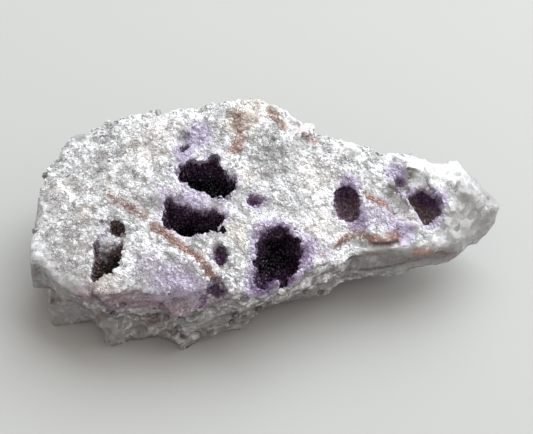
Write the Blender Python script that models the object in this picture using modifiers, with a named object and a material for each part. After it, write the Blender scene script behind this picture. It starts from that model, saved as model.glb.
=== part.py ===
"""Rough amethyst specimen: a hand-sized mass of quartz with a drusy top, open hollows lined with
amethyst crystals, and broken, ledged sides. Metres, +Z up, resting on z = 0."""

import math

import bmesh
import bpy
from mathutils import Matrix, Vector, noise

MM = 0.001

# Stations from the left end to the right end, in millimetres: x, then (y, z) of the front rim, the
# back rim, the front foot and the back foot, and how far the top bulges above the line between rims.
STATIONS = (
    (-60.0, (-10.0, 18.5), (-3.0, 20.0), (-11.0, 13.0), (-4.0, 12.0), 0.5),
    (-58.6, (-15.5, 18.5), (9.0, 23.5), (-17.0, 9.0), (5.0, 8.0), 1.0),
    (-55.5, (-18.5, 19.0), (15.5, 25.5), (-18.0, 6.0), (11.0, 4.0), 1.6),
    (-50.0, (-24.0, 20.0), (21.4, 27.5), (-19.5, 2.0), (15.0, 0.6), 2.4),
    (-42.6, (-29.0, 21.0), (23.2, 30.5), (-24.0, 0.0), (17.0, -0.6), 3.0),
    (-32.3, (-29.0, 22.0), (23.2, 33.5), (-26.0, -0.4), (17.5, -0.8), 3.0),
    (-21.9, (-29.0, 22.5), (23.4, 36.0), (-26.5, -0.6), (17.5, -0.8), 2.6),
    (-11.6, (-29.3, 22.5), (23.6, 38.0), (-24.5, -0.4), (17.0, -0.6), 2.0),
    (-1.3, (-28.0, 22.0), (23.2, 38.5), (-20.5, 0.6), (15.5, -0.4), 1.6),
    (9.0, (-21.4, 21.0), (18.6, 36.0), (-17.0, 1.6), (12.0, -0.2), 1.6),
    (19.4, (-15.6, 20.5), (14.2, 33.0), (-13.4, 2.6), (8.5, 1.0), 1.4),
    (29.7, (-12.0, 21.0), (12.6, 29.5), (-11.8, 4.2), (7.0, 3.0), 1.2),
    (40.0, (-10.4, 19.5), (13.2, 28.0), (-10.4, 6.0), (7.0, 5.4), 1.2),
    (47.7, (-9.2, 18.5), (10.8, 26.5), (-8.6, 8.2), (5.6, 8.0), 1.2),
    (54.2, (-5.4, 17.5), (5.6, 24.0), (-4.0, 11.5), (3.2, 11.5), 0.8),
    (59.6, (-0.8, 17.4), (0.6, 19.0), (-0.6, 16.6), (0.4, 16.8), 0.2),
)
STATION_STEPS = 6
TOP_POINTS = 22
SIDE_POINTS = 10
BASE_POINTS = 8
FRONT_BULGE = 1.2
BACK_BULGE = 4.0
FULL_BULGE_WIDTH = 30.0

# Rises and dips of the top, in millimetres: (x, y), reach, height.
SWELLS = (
    ((-4.0, 18.0), 7.0, 1.6),
    ((-47.0, -8.0), 10.0, 1.2),
    ((-17.5, 13.4), 5.0, -1.6),
    ((-17.4, -3.0), 4.0, -0.8),
    ((27.4, -6.6), 5.0, 1.8),
    ((12.0, 2.0), 6.5, -1.2),
    ((47.0, 4.0), 6.0, 1.2),
    ((33.5, 0.0), 3.0, -1.4),
    ((-30.0, -20.0), 7.0, 0.9),
)
SWELL_FACING = 0.3

# Flat breaks: a point on the plane, the way it faces, and its reach. What stands beyond the plane is
# cleaved off, and past the reach the surface rises from it again at 45 degrees.
BREAKS = (
    ((-59.4, -6.0, 18.0), (-1.0, -0.20, 0.15), 12.0),
    ((-56.6, 10.0, 16.0), (-0.85, 0.45, -0.15), 10.0),
    ((-55.5, -18.0, 12.0), (-0.80, -0.60, -0.15), 8.0),
    ((-44.0, 22.5, 20.0), (-0.35, 1.0, 0.15), 9.0),
    ((-30.0, 25.0, 22.0), (-0.05, 1.0, -0.25), 8.0),
    ((-13.0, 25.5, 20.0), (0.12, 1.0, 0.20), 9.0),
    ((3.0, 23.0, 22.0), (0.40, 1.0, -0.15), 8.0),
    ((16.0, 17.5, 16.0), (0.45, 1.0, -0.30), 8.0),
    ((34.0, 14.0, 16.0), (0.0, 1.0, 0.10), 9.0),
    ((52.0, 8.0, 18.0), (0.75, 0.80, 0.10), 6.0),
    ((55.5, -3.6, 17.0), (0.70, -0.90, 0.20), 6.0),
    ((44.0, -9.6, 10.0), (0.15, -1.0, -0.60), 8.0),
    ((28.0, -12.0, 6.6), (0.05, -0.80, -1.0), 9.0),
    ((6.0, -18.0, 5.0), (0.25, -1.0, -0.60), 8.0),
    ((46.0, 2.0, 9.0), (0.35, 0.10, -1.0), 9.0),
    ((-53.0, 2.0, 5.0), (-0.60, 0.0, -1.0), 9.0),
    ((-30.0, -28.0, 9.0), (-0.10, -1.0, -0.10), 7.0),
)

# Seams between the layers of the front: (x, z) of either end, half height of the groove, its depth.
SEAMS = (
    ((-54.0, 15.0), (-4.0, 11.5), 1.5, 1.7),
    ((10.0, 16.5), (34.0, 18.0), 1.1, 1.5),
    ((-2.0, 9.0), (44.0, 12.0), 1.2, 1.1),
)
SEAM_FADE = 4.0

# Blocky crystals that stand out of the mass: centre, half sizes, turns about x, y and z in degrees.
BLOCKS = (
    ((-49.0, -16.6, 7.4), (6.0, 5.2, 4.8), (4.0, -5.0, 12.0)),
    ((-54.6, -12.6, 14.6), (4.6, 5.6, 4.2), (-6.0, 8.0, 12.0)),
    ((-47.0, 17.0, 23.5), (6.0, 4.0, 5.0), (-8.0, 12.0, 38.0)),
    ((50.5, 4.0, 20.5), (4.0, 3.6, 4.6), (12.0, 20.0, 30.0)),
    ((26.5, -9.0, 15.5), (7.0, 3.4, 5.2), (4.0, 2.0, 8.0)),
    ((-56.0, 2.0, 12.0), (3.6, 7.0, 4.0), (10.0, 14.0, -8.0)),
    ((22.0, 11.0, 13.0), (6.0, 4.4, 5.0), (-14.0, 10.0, -26.0)),
)

# Quartz points: root, the way they point, radius of the prism, length, all in millimetres.
POINTS = (
    ((-38.5, -23.5, 4.6), (-0.15, -0.75, -0.30), 3.4, 6.4),
    ((-33.0, -24.5, 3.6), (0.25, -0.80, -0.25), 2.6, 5.2),
    ((-22.0, -25.0, 4.2), (0.10, -0.85, -0.30), 3.6, 7.0),
    ((-17.0, -24.5, 4.0), (0.45, -0.75, -0.20), 2.8, 5.6),
    ((-28.0, 23.0, 12.0), (-0.2, 0.9, -0.1), 4.2, 7.0),
    ((-20.0, 23.5, 8.5), (0.25, 0.9, -0.15), 3.4, 6.4),
    ((4.0, 20.0, 12.0), (0.3, 0.9, 0.1), 3.8, 7.0),
    ((10.5, 16.5, 8.0), (0.5, 0.8, 0.0), 3.0, 6.0),
    ((55.2, 0.6, 19.5), (0.9, 0.15, 0.2), 3.4, 5.4),
    ((44.0, 10.5, 23.5), (0.15, 0.55, 0.75), 3.0, 5.6),
    ((49.5, 8.0, 22.0), (0.5, 0.55, 0.6), 2.4, 5.0),
)
POINT_SIDES = 6
PRISM_SHARE = 0.55
PRISM_TAPER = 0.94
TIP_SHARE_OF_RADIUS = 0.12

# Hollows of the top: name, (x, y) of the middle and its depth under the surface, half sizes along,
# across and down, turn about z, tilt about y and x in degrees, and a number that gives it its
# uneven form. The first four are lined with crystals.
LINED_HOLLOWS = (
    ("upper_hollow", (-15.4, 2.2, 3.0), (9.4, 5.2, 7.6), -24.0, (4.0, 10.0), 3),
    ("lower_hollow", (-18.6, -9.8, 3.0), (9.2, 4.7, 7.8), -6.0, (-4.0, -6.0), 8),
    ("front_hollow", (2.8, -15.4, 2.6), (9.0, 6.6, 8.0), 71.0, (0.0, 12.0), 5),
    ("left_hollow", (-39.0, -13.9, 2.6), (7.6, 4.4, 6.8), 70.0, (2.0, 0.0), 2),
)
BARE_HOLLOWS = (
    ("right_pit", (20.6, -1.6, 1.2), (5.0, 3.0, 3.8), 100.0, (0.0, 0.0), 1),
    ("tip_pit", (39.8, 0.2, 1.4), (5.2, 3.4, 4.2), -28.0, (10.0, 0.0), 4),
    ("bead_pit", (-11.7, -18.2, 0.8), (1.9, 1.9, 3.0), 0.0, (0.0, 0.0), 6),
    ("rim_pit", (-12.4, -26.2, 1.2), (2.0, 2.6, 3.4), 10.0, (0.0, 0.0), 7),
    ("small_pit", (-2.6, -4.3, 0.6), (2.1, 1.5, 1.9), 10.0, (0.0, 0.0), 9),
    ("back_pit", (-21.1, 14.6, 0.6), (1.8, 1.4, 2.2), 35.0, (0.0, 0.0), 10),
    ("notch_pit", (34.4, 5.0, 0.6), (1.7, 1.3, 2.0), -30.0, (0.0, 0.0), 11),
)
HOLLOW_ROUGHNESS = 0.17
HOLLOW_BENDS = 1.7
HOLLOW_DENTS = 4.1
SHAPE_SPREAD = Vector((3.1, 1.7, 5.3))
LINED_DETAIL = 3
BARE_DETAIL = 2
CRUST_GAP = 0.35
CRUST_THICKNESS = 0.8
CRYSTAL_LOW, CRYSTAL_HIGH = 0.6, 1.3

REMESH_VOXEL = 1.05
BODY_SHARE = 0.115
LUMP_SIZE, LUMP_HEIGHT = 13.0, 1.4
BUMP_SIZE, BUMP_HEIGHT = 5.0, 0.6
BUMP_SHIFT = Vector((7.0, 3.0, 1.0))
GRAIN_SIZE, GRAIN_HEIGHT = 3.4, 1.0
GRAIN_STEEPNESS = 1.5
SIDE_GRAIN_SHARE = 0.3
STEP_SIZE, STEP_HEIGHT = 7.5, 2.2
STEP_SPREAD = 3.7
LEDGE_PITCH, LEDGE_DEPTH = 4.2, 1.0
LEDGE_WANDER = 1.6
LEDGE_CREST = 0.85
REST_SNAP = 0.35
SMALLEST_EDGE = 0.02
ABOVE_ALL = 100.0

QUARTZ_LOOK = ((0.80, 0.79, 0.80), 0.35)
AMETHYST_LOOK = ((0.18, 0.08, 0.22), 0.15)


def clear_scene():
    for obj in list(bpy.data.objects):
        bpy.data.objects.remove(obj, do_unlink=True)


def collection(name, hidden=False):
    made = bpy.data.collections.new(name)
    bpy.context.scene.collection.children.link(made)
    made.hide_render = hidden
    return made


def material(name, colour, roughness):
    made = bpy.data.materials.new(name)
    made.use_nodes = True
    shader = made.node_tree.nodes["Principled BSDF"]
    shader.inputs["Base Color"].default_value = (*colour, 1.0)
    shader.inputs["Roughness"].default_value = roughness
    shader.inputs["Metallic"].default_value = 0.0
    made.diffuse_color = (*colour, 1.0)
    return made


def object_from(bm, name, holder):
    mesh = bpy.data.meshes.new(name)
    bm.to_mesh(mesh)
    bm.free()
    obj = bpy.data.objects.new(name, mesh)
    holder.objects.link(obj)
    return obj


def as_helper(obj):
    obj.hide_render = True
    obj.display_type = "WIRE"
    return obj


def evaluated_bmesh(obj):
    """A bmesh of the object with its modifiers, in its own space."""
    graph = bpy.context.evaluated_depsgraph_get()
    graph.update()
    evaluated = obj.evaluated_get(graph)
    bm = bmesh.new()
    bm.from_mesh(evaluated.to_mesh())
    evaluated.to_mesh_clear()
    return bm


def catmull_rom(before, start, end, after, t):
    """A value on the smooth curve between start and end."""
    return 0.5 * (
        2.0 * start
        + (end - before) * t
        + (2.0 * before - 5.0 * start + 4.0 * end - after) * t * t
        + (3.0 * start - before - 3.0 * end + after) * t**3
    )


def smooth_rows(rows, steps):
    """Rows of numbers with `steps` rows for each gap, on a smooth curve through the given rows."""
    last = len(rows) - 1
    made = []
    for i in range(last):
        around = [rows[max(0, i - 1)], rows[i], rows[i + 1], rows[min(last, i + 2)]]
        for step in range(steps):
            made.append([catmull_rom(*values, step / steps) for values in zip(*around)])
    made.append(list(rows[last]))
    return made


def line(start, end, count, bulge=0.0, outward=(0.0, 0.0)):
    """Points from start up to, but without, end. They bow outward by bulge in the middle."""
    made = []
    for i in range(count):
        t = i / count
        lift = bulge * math.sin(math.pi * t)
        across = start[0] + (end[0] - start[0]) * t + outward[0] * lift
        height = start[1] + (end[1] - start[1]) * t + outward[1] * lift
        made.append((across, height))
    return made


def section(front, back, front_foot, back_foot, crown):
    """One closed section across the specimen, as (y, z) points from the front rim over the top."""
    share = min(1.0, (back[0] - front[0]) / FULL_BULGE_WIDTH)
    return (
        line(front, back, TOP_POINTS, crown, (0.0, 1.0))
        + line(back, back_foot, SIDE_POINTS, BACK_BULGE * share, (1.0, 0.0))
        + line(back_foot, front_foot, BASE_POINTS)
        + line(front_foot, front, SIDE_POINTS, FRONT_BULGE * share, (-1.0, 0.0))
    )


def rough_mass(holder):
    """The smooth form of the mass: a loft through the stations, closed flat at either end."""
    flat_rows = [(x, *a, *b, *c, *d, crown) for x, a, b, c, d, crown in STATIONS]
    bm = bmesh.new()
    rings = []
    for x, *row in smooth_rows(flat_rows, STATION_STEPS):
        outline = section(row[0:2], row[2:4], row[4:6], row[6:8], row[8])
        rings.append([bm.verts.new(Vector((x, y, z)) * MM) for y, z in outline])
    for first, second in zip(rings, rings[1:]):
        for i, corner in enumerate(first):
            after = (i + 1) % len(first)
            bm.faces.new((corner, first[after], second[after], second[i]))
    for ring in (rings[0], rings[-1]):
        bm.faces.new(ring)
    bmesh.ops.recalc_face_normals(bm, faces=bm.faces)
    return object_from(bm, "rough_mass", holder)


def block(centre, half_sizes, turns, name, holder):
    bm = bmesh.new()
    bmesh.ops.create_cube(bm, size=2.0)
    bmesh.ops.scale(bm, vec=Vector(half_sizes) * MM, verts=bm.verts)
    for turn, axis in zip(turns, "XYZ"):
        bmesh.ops.rotate(bm, matrix=Matrix.Rotation(math.radians(turn), 3, axis), verts=bm.verts)
    bmesh.ops.translate(bm, vec=Vector(centre) * MM, verts=bm.verts)
    return object_from(bm, name, holder)


def add_cone(bm, bottom, top, low_radius, high_radius):
    """A six-sided frustum between two heights, in millimetres."""
    lift = Matrix.Translation((0.0, 0.0, (bottom + top) / 2.0 * MM))
    bmesh.ops.create_cone(
        bm,
        cap_ends=True,
        segments=POINT_SIDES,
        radius1=low_radius * MM,
        radius2=high_radius * MM,
        depth=(top - bottom) * MM,
        matrix=lift,
    )


def quartz_point(root, direction, radius, length, name, holder):
    """A six-sided prism with a six-sided tip, sunk in the mass at its root."""
    shoulder = length * PRISM_SHARE
    bm = bmesh.new()
    add_cone(bm, -radius, shoulder, radius, radius * PRISM_TAPER)
    add_cone(bm, shoulder * PRISM_SHARE, length, radius * PRISM_TAPER, radius * TIP_SHARE_OF_RADIUS)
    turn = Vector(direction).to_track_quat("Z", "Y").to_matrix()
    bmesh.ops.rotate(bm, matrix=turn, verts=bm.verts)
    bmesh.ops.translate(bm, vec=Vector(root) * MM, verts=bm.verts)
    return object_from(bm, name, holder)


def swell_at(x, y):
    """How far the swells raise the top at (x, y), in millimetres."""
    height = 0.0
    for (sx, sy), reach, rise in SWELLS:
        distance = math.hypot(x - sx, y - sy) / reach
        height += rise * math.exp(-distance * distance)
    return height


def ledge(point):
    """A stair-like relief that runs along the sides, from 0 to 1."""
    wave = noise.noise(point / LUMP_SIZE) * LEDGE_WANDER + point.z / LEDGE_PITCH
    part = wave - math.floor(wave)
    if part > LEDGE_CREST:
        return (1.0 - part) / (1.0 - LEDGE_CREST)
    return (part / LEDGE_CREST) ** 2


def broken_step(point):
    """A height that is the same all over one block of the broken sides, from about -0.5 to 0.5."""
    nearest = noise.voronoi(point / STEP_SIZE)[1][0]
    return noise.noise(nearest * STEP_SPREAD)


def seam_at(point):
    """How deep the seams of the front are at a point, in millimetres."""
    depth = 0.0
    for (x_start, z_start), (x_end, z_end), half_height, deepest in SEAMS:
        inside = min(point.x - x_start, x_end - point.x)
        along = (point.x - x_start) / (x_end - x_start)
        middle = z_start + (z_end - z_start) * along
        near = max(0.0, 1.0 - abs(point.z - middle) / half_height)
        depth += deepest * near * min(1.0, max(0.0, inside / SEAM_FADE))
    return depth


def grain(point):
    """The height of the drusy crystals, from 0 between them to 1 at a tip."""
    distance = noise.voronoi(point / GRAIN_SIZE)[0][0]
    return max(0.0, 1.0 - distance * GRAIN_STEEPNESS)


def cleaved(point):
    """The point, moved in to the flat breaks that it stands beyond."""
    for place, facing, reach in BREAKS:
        facing = Vector(facing).normalized()
        offset = point - Vector(place)
        height = offset.dot(facing)
        across = (offset - facing * height).length
        beyond = height - max(0.0, across - reach)
        if beyond > 0.0:
            point = point - facing * beyond
    return point


def roughened(point, normal):
    """Where a point of the smooth form goes, in millimetres."""
    up = max(0.0, normal.z)
    side = 1.0 - abs(normal.z)
    front = max(0.0, -normal.y)
    shift = noise.noise(point / LUMP_SIZE) * LUMP_HEIGHT
    shift += noise.noise(point / BUMP_SIZE + BUMP_SHIFT) * BUMP_HEIGHT
    shift += side * (ledge(point) - 0.4) * LEDGE_DEPTH
    shift += side * broken_step(point) * STEP_HEIGHT
    shift -= front * seam_at(point)
    grain_share = SIDE_GRAIN_SHARE + (1.0 - SIDE_GRAIN_SHARE) * up
    shift += grain_share * (grain(point) - 0.3) * GRAIN_HEIGHT
    moved = point + normal * shift
    if up > SWELL_FACING:
        moved.z += swell_at(point.x, point.y) * up
    moved = cleaved(moved)
    moved.z = max(0.0, moved.z)
    return moved


def centre_over_origin(bm):
    """Moves the mesh sideways until the middle of its box is over the origin."""
    for axis in (0, 1):
        places = [vert.co[axis] for vert in bm.verts]
        middle = (min(places) + max(places)) / 2.0
        for vert in bm.verts:
            vert.co[axis] -= middle


def fused_mass(holder):
    """The mass with its blocks and points grown together, roughened, as one mesh."""
    grown = [rough_mass(holder)]
    grown += [block(*values, f"block_{i + 1}", holder) for i, values in enumerate(BLOCKS)]
    grown += [quartz_point(*values, f"point_{i + 1}", holder) for i, values in enumerate(POINTS)]
    bm = bmesh.new()
    for obj in grown:
        bm.from_mesh(obj.data)
        as_helper(obj)
    joined = as_helper(object_from(bm, "grown_together", holder))
    fuse = joined.modifiers.new("fuse", "REMESH")
    fuse.mode = "VOXEL"
    fuse.voxel_size = REMESH_VOXEL * MM

    bm = evaluated_bmesh(joined)
    bm.normal_update()
    places = [roughened(vert.co / MM, vert.normal) * MM for vert in bm.verts]
    for vert, place in zip(bm.verts, places):
        vert.co = place
    detailed = as_helper(object_from(bm, "detailed_mass", holder))
    facets = detailed.modifiers.new("facets", "DECIMATE")
    facets.ratio = BODY_SHARE

    bm = evaluated_bmesh(detailed)
    for vert in bm.verts:
        if vert.co.z < REST_SNAP * MM:
            vert.co.z = 0.0
    bmesh.ops.triangulate(bm, faces=bm.faces)
    bmesh.ops.dissolve_degenerate(bm, edges=bm.edges, dist=SMALLEST_EDGE * MM)
    centre_over_origin(bm)
    return as_helper(object_from(bm, "whole_mass", holder))


def under_surface(whole, middle):
    """The point `depth` under the top of the mass at (x, y), in millimetres."""
    x, y, depth = middle
    above = Vector((x, y, ABOVE_ALL)) * MM
    _, place, _, _ = whole.ray_cast(above, Vector((0.0, 0.0, -1.0)))
    return place / MM - Vector((0.0, 0.0, depth))


def hollow_shape(centre, half_sizes, turn, tilts, form, inset, detail):
    """A rough rounded body in the form of a hollow, moved in along its normals by inset."""
    bm = bmesh.new()
    bmesh.ops.create_icosphere(bm, subdivisions=detail, radius=1.0)
    spread = SHAPE_SPREAD * form
    for vert in bm.verts:
        bend = noise.noise(vert.co * HOLLOW_BENDS + spread)
        dent = noise.noise(vert.co * HOLLOW_DENTS + spread)
        vert.co *= 1.0 + HOLLOW_ROUGHNESS * (2.0 * bend + dent)
    bmesh.ops.scale(bm, vec=half_sizes, verts=bm.verts)
    bm.normal_update()
    places = [vert.co - vert.normal * inset for vert in bm.verts]
    for vert, place in zip(bm.verts, places):
        vert.co = place
    turned = Matrix.Rotation(math.radians(turn), 3, "Z")
    turned = Matrix.Rotation(math.radians(tilts[0]), 3, "Y") @ turned
    turned = Matrix.Rotation(math.radians(tilts[1]), 3, "X") @ turned
    bmesh.ops.rotate(bm, matrix=turned, verts=bm.verts)
    bmesh.ops.translate(bm, vec=centre, verts=bm.verts)
    bmesh.ops.scale(bm, vec=(MM, MM, MM), verts=bm.verts)
    return bm


def hollow_cutter(name, shape, detail, holder):
    bm = hollow_shape(*shape, 0.0, detail)
    return as_helper(object_from(bm, name + "_cutter", holder))


def crystal_lining(name, shape, holder):
    """The inner surface of a crust: every few vertices a crystal tip stands into the hollow."""
    bm = hollow_shape(*shape, CRUST_GAP + CRUST_THICKNESS, LINED_DETAIL)
    bm.normal_update()
    bm.verts.ensure_lookup_table()
    raised = set()
    for vert in bm.verts:
        around = {edge.other_vert(vert).index for edge in vert.link_edges}
        if not around & raised:
            raised.add(vert.index)
    middle = Vector(shape[0]) * MM
    for index in sorted(raised):
        vert = bm.verts[index]
        share = min(1.0, 2.0 * abs(noise.noise(vert.co / MM)))
        height = CRYSTAL_LOW + (CRYSTAL_HIGH - CRYSTAL_LOW) * share
        toward = (middle - vert.co).normalized().lerp(-vert.normal, 0.5).normalized()
        vert.co += toward * height * MM
    return as_helper(object_from(bm, name + "_lining", holder))


def boolean(obj, operation, other, solver="EXACT"):
    cut = obj.modifiers.new(f"{operation.lower()}_{other.name}", "BOOLEAN")
    cut.operation = operation
    cut.solver = solver
    cut.object = other


def keep_largest(bm):
    """Removes every loose chip but the body with the most vertices."""
    bodies = []
    left = set(bm.verts)
    while left:
        reached = {left.pop()}
        frontier = list(reached)
        while frontier:
            vert = frontier.pop()
            for edge in vert.link_edges:
                other = edge.other_vert(vert)
                if other in left:
                    left.remove(other)
                    reached.add(other)
                    frontier.append(other)
        bodies.append(reached)
    largest = max(bodies, key=len)
    chips = [vert for body in bodies if body is not largest for vert in body]
    bmesh.ops.delete(bm, geom=chips, context="VERTS")


def finished_node(obj, name, look, holder):
    """One body of the specimen, from the largest piece that the modifiers leave of obj."""
    bm = evaluated_bmesh(obj)
    keep_largest(bm)
    node = object_from(bm, name, holder)
    node.data.materials.append(material(name, *look))


def build():
    clear_scene()
    parts = collection("amethyst_specimen")
    cutters = collection("cutters", hidden=True)
    whole = fused_mass(cutters)
    lined = {name: (under_surface(whole, middle), *rest) for name, middle, *rest in LINED_HOLLOWS}
    bare = {name: (under_surface(whole, middle), *rest) for name, middle, *rest in BARE_HOLLOWS}

    drilled = bpy.data.objects.new("drilled_mass", whole.data.copy())
    cutters.objects.link(as_helper(drilled))
    for name, shape in lined.items():
        boolean(drilled, "DIFFERENCE", hollow_cutter(name, shape, LINED_DETAIL, cutters))
    for name, shape in bare.items():
        boolean(drilled, "DIFFERENCE", hollow_cutter(name, shape, BARE_DETAIL, cutters))
    finished_node(drilled, "quartz_mass", QUARTZ_LOOK, parts)

    for name, shape in lined.items():
        bm = hollow_shape(*shape, CRUST_GAP, LINED_DETAIL)
        solid = as_helper(object_from(bm, name + "_solid", cutters))
        boolean(solid, "INTERSECT", whole)
        # The exact solver drops the whole crust where crystals of the lining touch each other.
        boolean(solid, "DIFFERENCE", crystal_lining(name, shape, cutters), "MANIFOLD")
        finished_node(solid, name.replace("hollow", "crystals"), AMETHYST_LOOK, parts)


build()
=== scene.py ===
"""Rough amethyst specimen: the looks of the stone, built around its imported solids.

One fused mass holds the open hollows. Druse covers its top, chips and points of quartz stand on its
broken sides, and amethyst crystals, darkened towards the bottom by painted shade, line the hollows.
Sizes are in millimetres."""

import math

import bpy
import numpy as np
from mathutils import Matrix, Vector, noise
from mathutils.bvhtree import BVHTree


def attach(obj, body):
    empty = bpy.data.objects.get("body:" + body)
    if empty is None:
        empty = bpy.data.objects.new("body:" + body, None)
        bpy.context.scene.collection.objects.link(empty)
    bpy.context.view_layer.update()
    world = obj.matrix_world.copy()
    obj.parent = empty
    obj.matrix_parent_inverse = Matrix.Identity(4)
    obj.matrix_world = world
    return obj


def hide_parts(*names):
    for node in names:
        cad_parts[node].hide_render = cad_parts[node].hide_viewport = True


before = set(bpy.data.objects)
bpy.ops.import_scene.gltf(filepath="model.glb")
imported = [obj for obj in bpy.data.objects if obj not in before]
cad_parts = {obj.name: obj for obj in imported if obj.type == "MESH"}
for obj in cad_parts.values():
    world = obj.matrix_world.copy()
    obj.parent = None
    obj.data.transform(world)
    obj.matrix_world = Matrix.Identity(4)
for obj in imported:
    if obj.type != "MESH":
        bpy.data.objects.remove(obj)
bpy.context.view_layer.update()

bl_info = {
    "name": "Rough Amethyst Specimen",
    "version": (1, 0, 0),
    "blender": (4, 5, 0),
    "location": "3D View > Sidebar > Specimen",
    "description": "Builds a rough amethyst specimen with a drusy top and crystal-lined hollows",
    "category": "Object",
}

MM = 0.001
BODY = "root"

# The photo's camera: how it looks down on the stone, and what it looks at.
CAMERA_ELEVATION = 50.0
CAMERA_TARGET = (0.0, 0.75, 18.0)
CAMERA_DISTANCE = 420.0
CAMERA_LENS = 110.0

FLOOR_SIZE = 6.0
WORLD_COLOUR = (1.0, 0.93, 0.89, 1.0)
WORLD_STRENGTH = 0.66
# Lights: name, place in metres, size, power, colour.
LIGHTS = (
    ("window", (0.45, 0.62, 0.90), 1.25, 22.0, (0.90, 0.97, 1.0)),
    ("fill", (0.90, 0.05, 0.45), 0.8, 3.0, (1.0, 0.98, 0.95)),
)

QUARTZ_IOR = 1.544
# The solids grow by this much before they are fused, so that each crust joins the mass.
OVERLAP = 0.35 * MM
# Stone lower than this is flattened onto the surface that it rests on.
REST_HEIGHT = 0.9 * MM
SEAM_DEPTH = 0.9 * MM
# A cavity's cutter starts this many millimetres above the rim. Each step down then takes a share of the
# cavity's depth and of its lean, and narrows it. The last one narrows it by the cavity's own value.
CUTTER_HEAD = 3.0
CAVITY_STEPS = ((0.12, 0.05, 1.0), (0.33, 0.30, 1.0), (0.35, 0.40, 0.85))
LAST_STEP = (0.20, 0.25)
# The settings of a cell texture that is high in the middle of each cell and low along its edges.
CELL_EDGES = {"weight_1": -1.0, "weight_2": 1.0, "noise_intensity": 2.0}
# Relief: texture, its settings, size, stretch along x and y, strength, middle level, vertex group.
RELIEF = (
    ("layers", "CLOUDS", {"noise_depth": 2}, 1.6, 5.0, 1.5, 0.55, "sides"),
    ("blocks", "VORONOI", CELL_EDGES, 4.2, 1.6, 1.9, 0.45, "sides"),
    ("shards", "VORONOI", CELL_EDGES, 1.8, 1.0, 0.8, 0.40, "rough"),
    ("lumps", "CLOUDS", {"noise_depth": 3}, 3.2, 1.0, 2.6, 0.62, "top"),
    ("crumbs", "CLOUDS", {"noise_depth": 1}, 1.0, 1.0, 0.5, 0.55, "rough"),
)
# The parts that the fine druse is split into: where each begins and ends along x.
DRUSE_PARTS = (("west", -70.0, -22.0), ("middle", -22.0, 6.0), ("east", 6.0, 70.0))

HOLLOWS = ("upper", "lower", "front", "left")
MINERALS = ("Milky", "Grey", "Shade", "Cream", "Rose", "Lilac", "Violet", "Wine", "Deep", "Brown",
            "Smoky", "Iron")

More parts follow.
